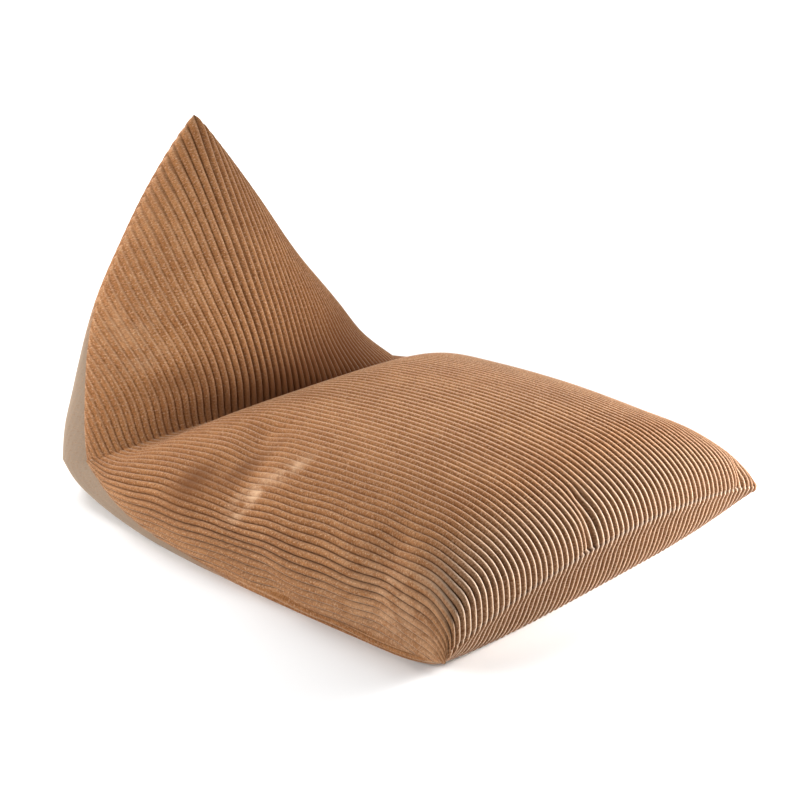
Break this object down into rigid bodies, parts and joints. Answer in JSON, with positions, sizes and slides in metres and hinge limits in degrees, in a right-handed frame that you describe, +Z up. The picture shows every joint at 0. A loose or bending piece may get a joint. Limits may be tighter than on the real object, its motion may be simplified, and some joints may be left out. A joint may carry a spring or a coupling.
{
  "type": "bean bag lounger",
  "caption": "Filled corduroy floor lounger: a pillow-like seat bent at a deep crease into a triangular backrest that rises to a sewn peak.",
  "frame": {"origin": "centre of the bounding box on the floor, at the flat base", "axes": "+Y from the front seam to the back, +Z up, +X to the right seen from the front"},
  "size_m": [0.7016, 0.9302, 0.516],
  "materials": {
    "corduroy": "matt wide-wale pile with a soft sheen at grazing angles"
  },
  "bodies": {
    "root": {"bean_bag": "corduroy"}
  },
  "joints": []
}
